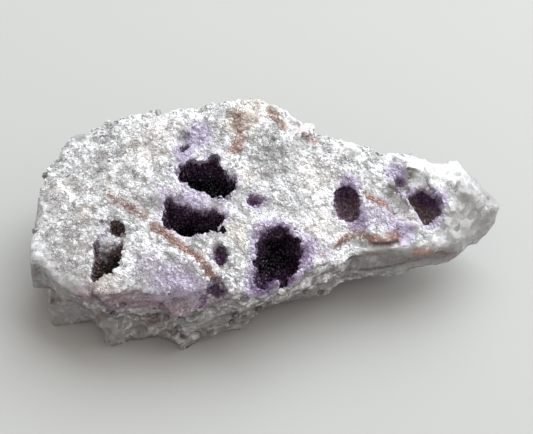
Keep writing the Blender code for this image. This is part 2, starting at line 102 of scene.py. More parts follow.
# Cavities: rim in millimetres, depth, how far the bottom leans along x and y, and how the bottom narrows.
CAVITIES = {
    "upper": (
        ((-23.3, 3.4, 33.2), (-21.8, 5.1, 33.7), (-19.3, 5.4, 34.1), (-16.8, 6.0, 33.8),
         (-15.0, 5.4, 33.7), (-14.6, 6.2, 33.9), (-14.8, 8.0, 34.4), (-13.5, 8.4, 34.6),
         (-12.4, 7.4, 34.6), (-12.5, 5.5, 34.0), (-12.0, 3.5, 33.9), (-10.2, 2.1, 33.9),
         (-8.7, 1.8, 34.2), (-7.5, 0.7, 33.9), (-8.5, -0.9, 33.0), (-9.2, -2.5, 32.4),
         (-10.1, -4.2, 32.1), (-11.6, -4.1, 32.7), (-13.1, -2.3, 32.5), (-14.9, -1.2, 32.4),
         (-17.4, -0.5, 32.4), (-19.7, 0.3, 33.0), (-21.7, 1.1, 33.2)),
        9.5, (0.5, -1.6), 0.6),
    "lower": (
        ((-26.1, -2.4, 32.3), (-24.6, -2.9, 32.0), (-23.6, -4.1, 31.2), (-22.1, -4.8, 31.0),
         (-19.6, -5.3, 31.0), (-17.6, -6.6, 31.1), (-15.8, -7.1, 30.9), (-13.6, -6.8, 30.9),
         (-11.8, -7.5, 30.9), (-10.3, -8.8, 30.3), (-11.3, -9.9, 30.0), (-12.3, -11.6, 29.7),
         (-13.7, -12.1, 29.5), (-15.7, -12.3, 29.3), (-16.7, -12.8, 28.8), (-19.0, -12.3, 28.6),
         (-21.4, -12.5, 29.2), (-23.5, -11.3, 28.9), (-24.5, -9.7, 29.0), (-26.0, -8.2, 29.8),
         (-25.6, -6.5, 30.1), (-24.9, -4.6, 31.0)),
        9.5, (0.0, -2.2), 0.6),
    "front": (
        ((-1.1, -13.0, 28.6), (0.4, -11.5, 28.0), (2.4, -10.5, 27.9), (4.4, -10.6, 27.2),
         (5.9, -11.7, 25.9), (7.4, -13.4, 24.7), (9.1, -14.2, 23.7), (8.8, -15.7, 23.3),
         (7.8, -17.3, 23.6), (7.3, -18.9, 22.5), (6.3, -20.9, 22.2), (4.3, -22.9, 22.9),
         (2.3, -23.0, 22.9), (0.4, -23.9, 22.5), (-0.6, -25.4, 22.1), (-2.3, -25.0, 22.4),
         (-2.8, -23.4, 23.5), (-2.1, -21.1, 24.5), (-1.4, -18.7, 25.5), (-1.6, -15.8, 26.6)),
        9.0, (0.4, 1.2), 0.6),
    "left": (
        ((-41.9, -15.6, 25.5), (-39.7, -15.0, 26.3), (-38.0, -14.2, 26.9), (-36.3, -13.2, 27.3),
         (-36.0, -15.4, 27.2), (-35.9, -17.6, 27.2), (-36.6, -20.2, 25.7), (-38.5, -21.6, 24.7),
         (-40.5, -22.0, 24.1), (-42.0, -22.9, 23.5), (-43.1, -21.4, 23.3), (-43.2, -19.6, 23.7),
         (-42.3, -17.9, 24.5)),
        8.5, (1.2, -0.8), 0.55),
    "left_top": (
        ((-39.1, -7.7, 28.1), (-37.0, -8.6, 28.4), (-35.8, -9.7, 28.1), (-36.4, -11.5, 28.0),
         (-37.8, -11.4, 27.8), (-39.5, -10.0, 27.3)),
        4.0, (0.3, -0.8), 0.5),
    "left_slope": (
        ((-41.8, -15.9, 25.5), (-41.6, -12.5, 26.6), (-40.6, -10.6, 27.2), (-38.4, -10.4, 27.6),
         (-36.8, -11.8, 28.0), (-36.4, -13.4, 27.6), (-38.0, -14.6, 26.9), (-39.8, -15.4, 26.3)),
        1.7, (0.2, -0.6), 0.75),
    "bead": (
        ((-13.4, -17.3, 27.6), (-11.5, -16.8, 27.7), (-9.7, -17.3, 27.3), (-10.5, -19.1, 26.7),
         (-11.9, -19.7, 26.3), (-13.2, -19.1, 26.8)),
        4.0, (0.0, -0.6), 0.6),
    "right": (
        ((19.1, 1.0, 28.4), (20.7, 2.0, 28.7), (21.9, 1.5, 28.2), (22.7, -0.6, 27.4), (23.6, -1.9, 26.7),
         (22.9, -3.5, 25.8), (21.6, -4.5, 25.1), (20.1, -4.4, 25.3), (19.8, -3.1, 26.1),
         (19.1, -2.1, 26.9), (18.1, -1.1, 27.7)),
        5.0, (0.3, -0.6), 0.55),
    "tip": (
        ((36.5, 3.1, 24.7), (37.7, 3.4, 25.2), (40.2, 1.7, 24.8), (42.7, -0.6, 24.0), (43.4, -2.1, 23.7),
         (41.6, -1.8, 23.4), (39.6, -1.5, 23.4), (38.1, -0.1, 23.4), (36.9, 0.9, 24.2)),
        4.2, (-0.6, -0.4), 0.6),
    "notch": (
        ((34.5, 6.1, 26.6), (35.7, 5.8, 26.3), (37.0, 3.9, 25.1), (36.2, 3.4, 24.8), (34.9, 4.8, 25.6)),
        2.6, (0.0, 0.0), 0.5),
    "small": (
        ((-4.1, -4.2, 31.6), (-2.6, -3.1, 32.0), (-0.6, -4.1, 31.2), (-2.1, -5.3, 31.0),
         (-4.1, -5.9, 31.3)),
        1.8, (0.0, -0.3), 0.6),
    "back": (
        ((-22.2, 9.8, 34.6), (-21.2, 12.5, 34.4), (-19.8, 12.8, 34.4), (-20.0, 11.0, 34.4),
         (-21.0, 9.4, 34.6)),
        2.8, (0.0, -0.4), 0.6),
    "rim": (
        ((-14.6, -28.6, 19.5), (-13.4, -26.6, 21.3), (-12.4, -25.4, 23.3), (-11.2, -25.6, 23.0),
         (-10.4, -26.9, 21.3), (-9.4, -28.6, 19.5)),
        3.6, (0.0, 0.4), 0.6),
}
# Stone that fills the part of the left crust's hollow where the real one only has a shallow slope.
FILLINGS = (
    ((-39.4, -11.6, 21.6), (4.6, 3.6, 5.0)),
)
# Clear blocks and blunt points on the sides: middle, half sizes, turns about x, y and z in degrees.
CLEAR_BLOCKS = (
    ((-54.8, -11.4, 14.8), (5.2, 4.6, 5.8), (-5.0, 3.0, 6.0)),
    ((-50.2, -14.8, 3.9), (6.0, 5.6, 4.1), (-8.0, -3.0, 5.0)),
    ((-57.6, -1.5, 17.5), (1.9, 7.0, 3.4), (4.0, 8.0, -7.0)),
    ((-46.4, 18.6, 27.0), (8.5, 2.0, 1.7), (8.0, -4.0, 41.0)),
    ((-38.2, -24.6, 4.2), (2.8, 3.2, 3.8), (12.0, 20.0, 24.0)),
    ((-21.6, -25.2, 3.4), (3.2, 3.8, 3.4), (10.0, -18.0, 34.0)),
    ((-27.0, -25.8, 7.6), (4.0, 2.2, 2.8), (6.0, 10.0, 8.0)),
    ((45.5, 8.2, 23.6), (5.6, 3.6, 4.2), (10.0, 4.0, 24.0)),
    ((39.0, 9.6, 25.2), (4.2, 3.0, 3.4), (-12.0, 8.0, -16.0)),
    ((8.0, 17.0, 33.6), (4.0, 2.4, 2.4), (14.0, 6.0, -20.0)),
)
# Flat breaks in the stone: middle, half sizes, turns.
FLAT_BREAKS = (
    ((-59.0, -20.0, 4.2), (3.6, 14.0, 4.4), (0.0, 4.0, -6.0)),
    ((-55.0, -21.8, 8.9), (6.0, 4.6, 0.55), (4.0, -6.0, 8.0)),
)
# Icy quartz without druse, white as the druse is.
ICY_PATCHES = (
    ((46.0, 8.5, 25.5), 7.0, 1.00),
    ((38.5, 9.5, 26.5), 4.5, 0.80),
    ((8.0, 17.0, 35.5), 4.0, 0.90),
    ((22.0, 12.5, 31.0), 4.0, 0.60),
    ((-51.5, 10.0, 28.0), 3.5, 0.50),
    ((37.0, -6.5, 22.6), 3.4, 0.70),
)
# The cavities that are lined with amethyst crystals in place of a crust of the solids.
LINED = {"upper": "upper", "lower": "lower", "front": "front", "left": "left", "left_top": "left"}
# Brown, smoky cavities, and how brown they are.
SMOKY = {"left": 1.0, "left_top": 1.0, "left_slope": 0.4, "right": 0.6, "tip": 0.8}
# How much painted shade a cavity takes with its depth, darkening its colour towards the bottom. The others
# take it fully.
CAVITY_SHADE = {"left_slope": 0.12, "small": 0.8, "right": 0.8, "tip": 0.8}
# The violet round a rim: how far it reaches and how strong it is.
HALOS = {"upper": (2.0, 0.38), "lower": (2.2, 0.42), "front": (2.2, 0.95), "left": (1.0, 0.06),
         "left_top": (1.0, 0.06), "left_slope": (1.5, 0.26), "bead": (0.9, 0.35), "right": (1.8, 0.6),
         "tip": (1.8, 0.5), "small": (1.4, 0.6), "back": (1.2, 0.4), "rim": (1.4, 0.8)}

# Patches of colour on the stone: middle, reach, strength.
VIOLET_PATCHES = (
    ((-17.5, 14.5, 34.3), 5.0, 0.42),
    ((-21.0, 9.0, 34.0), 3.4, 0.42),
    ((10.8, -13.0, 23.9), 3.0, 0.50),
    ((9.6, -16.5, 22.5), 2.8, 0.62),
    ((6.0, -22.0, 22.0), 2.6, 0.62),
    ((-2.8, -26.6, 22.0), 3.0, 0.45),
    ((15.0, -14.5, 21.0), 3.2, 0.26),
    ((-33.5, -23.3, 24.6), 5.0, 0.13),
    ((-28.6, -20.7, 26.4), 5.0, 0.26),
    ((-21.5, -22.4, 25.3), 4.5, 0.28),
    ((-24.9, -27.0, 22.4), 6.0, 0.36),
    ((-18.0, -26.5, 22.4), 5.0, 0.42),
    ((23.2, -6.0, 24.5), 3.6, 0.66),
    ((21.0, 3.0, 28.5), 3.0, 0.55),
    ((33.0, 7.5, 26.8), 3.4, 0.62),
    ((34.5, -7.6, 22.2), 3.8, 0.72),
    ((41.5, -3.2, 23.2), 3.8, 0.62),
    ((43.5, 1.0, 24.4), 3.4, 0.55),
    ((-18.0, -3.5, 31.6), 5.0, 0.28),
    ((30.0, -3.0, 24.6), 5.0, 0.35),
)
ROSE_PATCHES = (
    ((-43.5, -26.0, 18.5), 5.0, 0.70),
    ((-37.0, -27.5, 17.0), 5.5, 0.85),
    ((-30.0, -27.5, 17.0), 5.5, 0.85),
    ((-23.0, -27.8, 18.0), 5.5, 0.90),
    ((-16.5, -27.0, 19.5), 5.0, 0.75),
    ((-21.2, -25.5, 23.4), 4.0, 0.35),
)
CREAM_PATCHES = (
    ((-6.8, 17.0, 37.0), 5.0, 0.80),
    ((-2.0, 21.0, 38.0), 5.0, 0.55),
    ((-5.4, 1.6, 33.5), 3.0, 0.55),
    ((-7.8, -12.5, 28.8), 3.0, 0.55),
    ((-6.2, -15.5, 28.0), 2.4, 0.45),
    ((-47.0, -5.0, 27.0), 3.2, 0.50),
    ((-52.2, 4.2, 26.6), 2.0, 0.60),
    ((-30.0, 13.0, 34.0), 8.0, 0.30),
    ((-41.0, -25.5, 21.5), 5.5, 0.55),
    ((13.0, 4.0, 31.0), 6.0, 0.30),
    ((14.0, -8.0, 25.0), 4.0, 0.35),
)
# Clear grey quartz, where no druse grows.
GREY_PATCHES = (
    ((55.0, 0.5, 20.0), 10.5, 1.00),
    ((52.0, 6.0, 24.0), 6.0, 0.70),
    ((50.0, -6.0, 14.0), 10.0, 1.00),
    ((-58.0, -12.0, 15.0), 8.0, 1.00),
    ((-53.0, -18.0, 14.0), 6.0, 0.90),
    ((-48.0, -23.0, 17.0), 5.5, 0.80),
    ((-50.0, -19.0, 4.0), 9.0, 1.00),
    ((-40.0, -27.0, 4.5), 5.0, 0.85),
    ((-59.5, 2.0, 18.0), 7.0, 0.90),
    ((-47.5, 19.5, 26.5), 4.0, 1.00),
    ((30.0, -12.0, 16.0), 9.0, 0.80),
    ((40.0, -11.0, 14.0), 8.0, 0.80),
)
GREY_SPOTS = (
    ((-43.9, 8.5, 29.4), 4.0, 0.55),
    ((-46.2, -8.0, 26.5), 2.6, 0.55),
    ((-31.3, -15.1, 28.1), 1.8, 0.60),
    ((-1.0, 8.5, 34.8), 6.5, 0.72),
    ((3.0, 6.0, 33.8), 6.0, 0.72),
    ((1.5, 11.5, 35.5), 5.0, 0.66),
    ((-36.0, 3.0, 31.5), 4.0, 0.40),
    ((6.0, -3.0, 30.0), 5.0, 0.50),
    ((-52.0, 9.0, 27.0), 4.0, 0.40),
    ((31.0, -1.0, 25.0), 5.0, 0.50),
    ((37.0, -5.0, 22.6), 4.0, 0.55),
)
# Iron veins, which are colour only: the places that they run through, half width, strength.
IRON_VEINS = (
    (((-39.2, -2.0, 30.6), (-36.2, -4.3, 29.9), (-33.1, -5.8, 29.3), (-30.4, -7.3, 29.3)), 1.05, 0.62),
    (((-35.8, -4.8, 29.9), (-33.1, -6.2, 29.3), (-30.8, -7.9, 29.3)), 0.45, 0.60),
    (((-28.7, -10.1, 28.9), (-25.1, -13.1, 28.8), (-21.3, -16.0, 27.9), (-18.4, -17.9, 27.2)), 0.90, 1.00),
    (((-17.0, -18.8, 26.9), (-14.4, -21.9, 25.5), (-12.9, -23.8, 24.7), (-12.1, -26.0, 22.8)), 0.95, 0.95),
    (((-7.6, 19.5, 37.5), (-6.8, 15.8, 36.6), (-7.2, 11.7, 35.4), (-7.7, 10.1, 34.9)), 1.50, 0.62),
    (((-8.8, 10.2, 34.8), (-6.8, 9.8, 34.8)), 1.20, 0.62),
    (((0.9, 20.0, 38.4), (2.9, 17.5, 37.4), (4.5, 15.8, 36.2)), 0.95, 0.75),
    (((8.6, 15.9, 34.7), (13.2, 13.3, 33.3)), 1.00, 0.62),
    (((25.2, 0.7, 27.6), (27.5, -0.6, 26.7), (30.1, -1.1, 25.4), (32.6, -2.6, 24.4)), 0.80, 0.85),
    (((24.6, 1.9, 28.0), (28.0, 1.5, 27.0)), 0.80, 0.40),
    (((17.7, -13.7, 21.6), (18.7, -11.9, 22.1), (20.3, -10.5, 22.1), (23.6, -10.1, 21.9),
      (26.5, -11.0, 21.8), (33.2, -9.8, 21.5)), 1.00, 1.00),
    (((38.2, -10.7, 18.3), (41.9, -10.5, 16.8), (45.5, -9.4, 14.2), (50.7, -5.9, 12.8)), 1.30, 0.75),
)
IRON_SPOTS = (
    ((-47.6, 5.4, 28.4), 0.9, 0.60),
    ((-44.5, -2.1, 28.0), 1.0, 0.60),
    ((-28.9, 3.8, 32.4), 1.4, 0.75),
    ((47.5, -7.5, 11.5), 3.0, 0.50),
    ((14.0, -14.5, 21.5), 1.8, 0.40),
    ((28.0, -12.0, 16.5), 6.0, 0.30),
    ((38.0, -10.5, 14.5), 6.0, 0.32),
    ((-16.0, -26.5, 9.0), 4.0, 0.25),
    ((-30.0, -27.0, 9.5), 3.0, 0.22),
)
# Dark cracks and the shaded lines between the layers of the sides.
DARK_SEAMS = (
    (((-43.4, -27.1, 21.0), (-41.7, -26.6, 17.4), (-40.0, -26.9, 13.4), (-38.5, -27.6, 12.7)), 0.75, 0.85),
    (((-38.5, -27.6, 12.7), (-34.2, -26.7, 10.9), (-26.6, -27.4, 11.5), (-16.6, -26.9, 12.4),
      (-10.3, -27.0, 16.8)), 0.60, 0.80),
    (((-22.7, -27.8, 9.4), (-15.4, -28.2, 10.9), (-10.4, -26.9, 10.0)), 0.45, 0.70),
    (((-10.2, -26.6, 10.6), (-7.2, -25.6, 11.1)), 0.55, 1.00),
    (((-21.5, -28.5, 5.8), (-16.9, -27.0, 4.1)), 0.55, 0.90),
    (((-33.5, 4.2, 31.9), (-33.1, 1.0, 31.5)), 0.35, 0.80),
    (((-10.4, 19.4, 37.4), (-9.8, 19.0, 37.4)), 0.60, 0.60),
    (((-7.9, 18.6, 37.3), (-7.3, 18.6, 37.3)), 0.60, 0.60),
    (((-20.8, 14.2, 34.8), (-20.8, 15.4, 34.8)), 0.60, 0.80),
    (((17.2, -14.4, 21.2), (18.5, -12.5, 21.6), (20.3, -11.2, 21.6), (26.5, -11.6, 21.2),
      (33.0, -10.4, 20.9)), 0.55, 0.95),
    (((22.0, -13.0, 16.0), (30.0, -12.0, 15.5), (38.0, -10.6, 14.6), (46.0, -9.0, 13.0)), 2.6, 0.40),
    (((24.0, -13.0, 13.0), (33.0, -11.6, 12.4), (41.0, -10.0, 12.2)), 0.60, 0.80),
)

# A thin white blade of quartz beside the tip's cavity: start, end, half width, height.
BLADE = ((31.6, 4.6, 25.6), (39.6, -4.0, 22.4), 1.1, 2.4)


def length_setting(name, millimetres, description):
    """A length that the sidebar shows."""
    return bpy.props.FloatProperty(name=name, description=description, default=millimetres * MM,
                                   unit="LENGTH")


def colour_setting(name, default, description):
    """A colour that the sidebar shows."""
    return bpy.props.FloatVectorProperty(name=name, description=description, default=default,
                                         subtype="COLOR", min=0.0, max=1.0)


class SpecimenSizes(bpy.types.PropertyGroup):
    """Sizes of the crystals and of the detail of the stone."""

    body_detail: length_setting("Body detail", 0.52,
        "Size of the smallest relief of the stone's own surface")
    druse_depth: length_setting("Druse depth", 0.4, "How far the crust of druse stands on the stone")
    coarse_spacing: length_setting("Coarse spacing", 2.2,
        "Least distance between the coarse crystals of the druse")
    fine_spacing: length_setting("Fine spacing", 0.48,
        "Least distance between the fine grains of the druse")
    chip_spacing: length_setting("Chip spacing", 3.0,
        "Least distance between quartz chips on the broken sides")
    hollow_spacing: length_setting("Hollow spacing", 0.62,
        "Least distance between amethyst crystals in the hollows")


class SpecimenColours(bpy.types.PropertyGroup):
    """Colours of the minerals."""

    milky: colour_setting("Milky quartz", (0.94, 0.955, 0.985), "Colour of the white druse")
    grey: colour_setting("Grey quartz", (0.32, 0.32, 0.32), "Colour of the clear grey quartz")
    shade: colour_setting("Shaded quartz", (0.145, 0.128, 0.115),
        "Colour in the gaps and layers of the broken sides")
    cream: colour_setting("Cream stain", (0.70, 0.61, 0.51), "Colour of the yellowish stains")
    rose: colour_setting("Rose layer", (0.28, 0.185, 0.24),
        "Colour of the pinkish purple layer under the rim")
    lilac: colour_setting("Lilac", (0.48, 0.435, 0.565), "Colour of pale amethyst")
    violet: colour_setting("Violet", (0.135, 0.073, 0.17), "Colour of strong amethyst")
    # Wine, deep violet and smoky brown darken the hollows with depth: partly the crystals' own colour,
    # partly painted shade towards the bottom.
    wine: colour_setting("Wine", (0.085, 0.032, 0.10),
        "Colour of the walls of the hollows below their rims")
    deep: colour_setting("Deep violet", (0.008, 0.004, 0.011), "Colour at the bottom of the hollows")
    brown: colour_setting("Brown", (0.16, 0.105, 0.092), "Colour of the upper walls of the brown hollows")
    smoky: colour_setting("Smoky brown", (0.045, 0.028, 0.022),
        "Colour at the bottom of the brown hollows")
    iron: colour_setting("Iron stain", (0.30, 0.168, 0.135), "Colour of the iron veins")
    floor: colour_setting("Floor", (0.44, 0.445, 0.435), "Colour of the plain floor")


def select_only(*objects):
    bpy.ops.object.select_all(action="DESELECT")
    for obj in objects:
        obj.select_set(True)
    bpy.context.view_layer.objects.active = objects[-1]


def copied_mesh(source, name):
    """A merged copy of an object's mesh, as a new object at the origin."""
    obj = bpy.data.objects.new(name, source.data.copy())
    obj.data.materials.clear()
    bpy.context.scene.collection.objects.link(obj)
    select_only(obj)
    bpy.ops.object.mode_set(mode="EDIT")
    bpy.ops.mesh.select_all(action="SELECT")
    bpy.ops.mesh.remove_doubles(threshold=0.001 * MM)
    bpy.ops.object.mode_set(mode="OBJECT")
    return obj


def apply_modifier(obj, kind, **settings):
    """Adds a modifier with these settings and applies it."""
    select_only(obj)
    modifier = obj.modifiers.new(kind.lower(), kind)
    for name, value in settings.items():
        setattr(modifier, name, value)
    bpy.ops.object.modifier_apply(modifier=modifier.name)


def vertex_data(source, name, width):
    """One row of numbers for each vertex."""
    values = np.empty(len(source) * width, np.float32)
    source.foreach_get(name, values)
    return values.reshape(-1, width).astype(float)


def places_of(obj):
    """The vertices' places in millimetres."""
    return vertex_data(obj.data.vertices, "co", 3) / MM


def facing_of(obj):
    """The vertices' normals."""
    return vertex_data(obj.data.vertex_normals, "vector", 3)


def smooth_step(low, high, values):
    """A share from 0 at the low value to 1 at the high one."""
    share = np.clip((values - low) / (high - low), 0.0, 1.0)
    return share * share * (3.0 - 2.0 * share)


def union_of(masks, size):
    """Soft union of masks from 0 to 1."""
    left = np.ones(size)
    for mask in masks:
        left *= 1.0 - np.clip(mask, 0.0, 1.0)
    return 1.0 - left


def patches(places, table):
    """A mask that is strongest in the middle of each patch and fades out past its reach."""
    masks = []
    for middle, reach, strength in table:
        away = np.linalg.norm(places - np.array(middle), axis=1) / reach
        masks.append(strength * (1.0 - smooth_step(0.45, 1.25, away)))
    return union_of(masks, len(places))


def line_distance(places, points):
    """How far each place is from a line through these points, mostly as the viewer sees it."""
    squash = np.array((1.0, 0.75, 0.35)) if np.mean([point[2] for point in points]) > 22.5 else \
        np.array((1.0, 0.35, 1.0))
    away = np.full(len(places), np.inf)
    places = places * squash
    points = np.array(points) * squash
    for start, end in zip(points[:-1], points[1:]):
        run = end - start
        along = np.clip(((places - start) @ run) / (run @ run), 0.0, 1.0)
        away = np.minimum(away, np.linalg.norm(places - start - along[:, None] * run, axis=1))
    return away


def veins(places, table, wander=0.0):
    """A mask along veins, cracks and seams, whose edges wander by this many millimetres."""
    masks = []
    uneven = wander * (noise_field(places, 1.6, 7) - 0.5) if wander else 0.0
    for points, half_width, strength in table:
        away = line_distance(places, points) + uneven
        masks.append(strength * (1.0 - smooth_step(half_width * 0.5, half_width * 1.6, away)))
    return union_of(masks, len(places))


def set_attribute(obj, name, values):
    attribute = obj.data.attributes.new(name, "FLOAT", "POINT")
    attribute.data.foreach_set("value", values.astype(np.float32))


def get_attribute(obj, name):
    values = np.empty(len(obj.data.vertices), np.float32)
    obj.data.attributes[name].data.foreach_get("value", values)
    return values


def set_share(obj, low, high):
    """Writes the part of the druse mask that lies between two places along x."""
    along = places_of(obj)[:, 0]
    share = get_attribute(obj, "druse") * ((along >= low) & (along < high))
    if "share" in obj.data.attributes:
        obj.data.attributes.remove(obj.data.attributes["share"])
    set_attribute(obj, "share", share)


def texture(name, kind, **settings):
    made = bpy.data.textures.new(name, kind)
    for key, value in settings.items():
        setattr(made, key, value)
    return made


def weight_group(obj, name, weights, levels=8):
    """Makes a vertex group with weights rounded to a few levels."""
    group = obj.vertex_groups.new(name=name)
    rounded = np.round(weights * levels).astype(int)
    for level in range(1, levels + 1):
        members = np.nonzero(rounded == level)[0].tolist()
        group.add(members, level / levels, "REPLACE")


def rim_distance(places, rim):
    """How far each place lies outside a cavity's rim, seen from above. Inside it is negative."""
    outline = np.array(rim)[:, :2]
    starts, runs = outline, np.roll(outline, -1, axis=0) - outline
    away = np.full(len(places), np.inf)
    inside = np.zeros(len(places), bool)
    for (start_x, start_y), (run_x, run_y) in zip(starts, runs):
        off_x, off_y = places[:, 0] - start_x, places[:, 1] - start_y
        along = np.clip((off_x * run_x + off_y * run_y) / (run_x ** 2 + run_y ** 2), 0.0, 1.0)
        away = np.minimum(away, np.hypot(off_x - along * run_x, off_y - along * run_y))
        crosses = (start_y > places[:, 1]) != (start_y + run_y > places[:, 1])
        with np.errstate(divide="ignore", invalid="ignore"):
            inside ^= crosses & (off_x < run_x * off_y / run_y)
    return np.where(inside, -away, away)


def rim_plane(rim):
    """The plane through a cavity's rim: slope along x, slope along y and height."""
    points = np.array(rim)
    level = np.column_stack([points[:, :2], np.ones(len(points))])
    return np.linalg.lstsq(level, points[:, 2], rcond=None)[0]


def cavity_reach(places, name):
    """For one cavity: each place's distance outside its rim, its depth, and its way to the middle."""
    rim, bottom, lean, _ = CAVITIES[name]
    slope_x, slope_y, level = rim_plane(rim)
    sunk = places[:, 0] * slope_x + places[:, 1] * slope_y + level - places[:, 2]
    middle = np.array(rim).mean(axis=0) + np.array((lean[0] * 0.5, lean[1] * 0.5, -0.5 * bottom))
    return rim_distance(places, rim), sunk, middle - places


def outer_surface(obj):
    """The body's outside as it was before the cavities were cut, with a lid over each of its hollows."""
    places, facing = places_of(obj), facing_of(obj)
    open_place = np.zeros(len(places), bool)
    corners = [Vector(place) for place in places]
    faces = []
    for name, (rim, bottom, _, _) in CAVITIES.items():
        away, sunk, inward = cavity_reach(places, name)
        looks_in = (facing * inward).sum(axis=1) / np.linalg.norm(inward, axis=1)
        open_place |= (looks_in > 0.0) & (away < 4.0) & (sunk > 0.0) & (sunk < bottom + 5.0)
        open_place |= (looks_in > -0.45) & (away < -0.6) & (sunk > 0.6) & (sunk < bottom + 5.0)
        first, count = len(corners), len(rim)
        corners.extend(Vector(point) for point in rim)
        corners.append(Vector(np.array(rim).mean(axis=0)))
        faces.extend((first + i, first + (i + 1) % count, first + count) for i in range(count))
    rings = np.empty(len(obj.data.polygons) * 4, np.int32)
    if len(obj.data.loops) != len(rings):
        raise ValueError("the remeshed body isn't all quads")
    obj.data.loops.foreach_get("vertex_index", rings)
    rings = rings.reshape(-1, 4)
    faces.extend(rings[~open_place[rings].any(axis=1)].tolist())
    return BVHTree.FromPolygons(corners, faces)


def depth_under(places, surface):
    """How far each place near a cavity lies from the uncut outside, in millimetres."""
    near = np.zeros(len(places), bool)
    for name, (_, bottom, _, _) in CAVITIES.items():
        away, sunk, _ = cavity_reach(places, name)
        near |= (away < 4.5) & (sunk < bottom + 5.0)
    depth = np.zeros(len(places))
    for index in np.nonzero(near)[0]:
        depth[index] = surface.find_nearest(Vector(places[index]))[3]
    return depth


def noise_field(places, size, seed):
    """Smooth noise from 0 to 1 with features of about this size in millimetres."""
    shift = Vector((seed * 17.3, seed * 5.1, seed * 9.7))
    values = [noise.fractal(Vector(place) / size + shift, 1.0, 2.0, 3) for place in places]
    return np.clip(0.5 + 0.6 * np.array(values), 0.0, 1.0)


def paint_body(obj, surface):
    """Writes the masks that the materials and the scattering read, one value for each vertex."""
    places, facing = places_of(obj), facing_of(obj)
    count = len(places)
    under = depth_under(places, surface)
    shade, smoky, halo = np.zeros(count), np.zeros(count), np.zeros(count)
    walls = {name: np.zeros(count) for name in HOLLOWS}
    for name, (rim, bottom, _, _) in CAVITIES.items():
        away, sunk, inward = cavity_reach(places, name)
        looks_in = (facing * inward).sum(axis=1) / np.linalg.norm(inward, axis=1)
        within = (1.0 - smooth_step(2.8, 3.8, away)) * (sunk < bottom + 4.0)
        within = within * smooth_step(-0.5, -0.2, looks_in)
        shade = np.maximum(shade, CAVITY_SHADE.get(name, 1.0) * within)
        smoky = np.maximum(smoky, SMOKY.get(name, 0.0) * (1.0 - smooth_step(0.5, 2.0, away)))
        if name in LINED:
            wall = within * smooth_step(1.5, 2.1, under)
            walls[LINED[name]] = np.maximum(walls[LINED[name]], wall)
        reach, strength = HALOS.get(name, (1.0, 0.2))
        apart = np.hypot(np.clip(away, 0.0, None), np.clip(np.abs(sunk) - 1.5, 0.0, None))
        halo = np.maximum(halo, strength * np.exp(-(apart / reach) ** 1.5))
    for name in ("left_slope", "small"):
        away, _, _ = cavity_reach(places, name)
        others = np.minimum.reduce([cavity_reach(places, other)[0] for other in ("left", "left_top")])
        shallow = (1.0 - smooth_step(-0.2, 0.6, away)) * smooth_step(-0.2, 0.4, others)
        shade = shade * (1.0 - shallow) + CAVITY_SHADE[name] * shallow
        walls["left"] = walls["left"] * (1.0 - shallow)
    wall = np.maximum.reduce(list(walls.values()))
    # Painted shade: the depth mask darkens a hollow's colour towards near black at its bottom, partly the
    # amethyst's own colour, partly painted shade.
    depth = shade * np.clip(under - 0.7, 0.0, None)
    top = smooth_step(0.15, 0.45, facing[:, 2]) * smooth_step(9.0, 14.0, places[:, 2])
    druse = np.maximum(top, smooth_step(0.3, 1.0, depth))
    side = 1.0 - druse
    clear = patches(places, GREY_PATCHES)
    icy = np.maximum(clear, patches(places, ICY_PATCHES))
    growth = noise_field(places, 5.0, 3)
    blade = 1.0 - smooth_step(0.9, 1.5, line_distance(places, BLADE[:2]))
    druse = druse * (1.0 - wall) * (1.0 - smooth_step(0.2, 0.6, icy))
    druse = druse * (1.0 - blade)
    upright = smooth_step(-0.25, 0.1, facing[:, 2]) * smooth_step(5.0, 9.0, places[:, 2])
    masks = {f"wall_{name}": walls[name] for name in HOLLOWS}
    masks.update({
        "depth": depth,
        "smoky": smoky,
        "violet": union_of([halo, patches(places, VIOLET_PATCHES)], count),
        "rose": patches(places, ROSE_PATCHES),
        "cream": patches(places, CREAM_PATCHES),
        "grey": union_of([clear, patches(places, GREY_SPOTS)], count),
        "growth": growth,
        "iron": union_of([veins(places, IRON_VEINS, 0.8), patches(places, IRON_SPOTS)], count),
        "seam": veins(places, DARK_SEAMS),
        "side": side,
        "druse": druse * (0.35 + 0.65 * smooth_step(0.25, 0.5, growth)),
        "big": druse * smooth_step(0.45, 0.7, growth),
        "chips": (1.0 - top) * (1.0 - wall) * (1.0 - clear) * upright,
    })
    for name, values in masks.items():
        set_attribute(obj, name, values)


